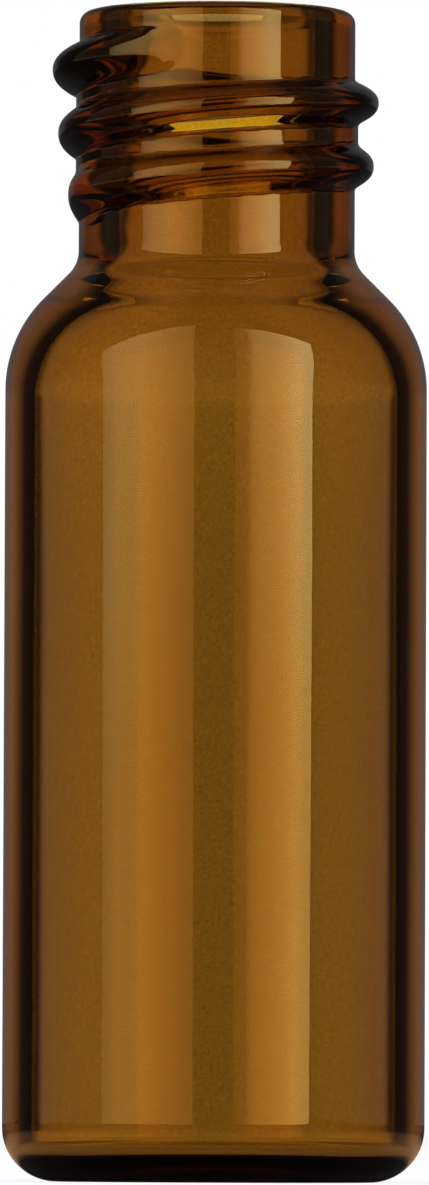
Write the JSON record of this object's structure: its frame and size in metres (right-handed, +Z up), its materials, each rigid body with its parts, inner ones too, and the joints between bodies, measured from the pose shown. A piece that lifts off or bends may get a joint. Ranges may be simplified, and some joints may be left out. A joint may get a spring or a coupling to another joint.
{
  "type": "screw-neck glass sample vial",
  "caption": "Small amber glass vial with a flat foot, straight body, sloping shoulder and open screw-thread neck; holds a liquid sample under a screw cap.",
  "frame": {"origin": "centre of the foot, on the surface that the vial stands on", "axes": "+Z up along the vial's axis to the mouth; -Y faces the front view, where the upper end of the thread dies away"},
  "size_m": [0.0116, 0.0116, 0.0322],
  "materials": {
    "amber_glass": "gloss"
  },
  "bodies": {
    "root": {"glass_vial": "amber_glass"}
  },
  "joints": []
}
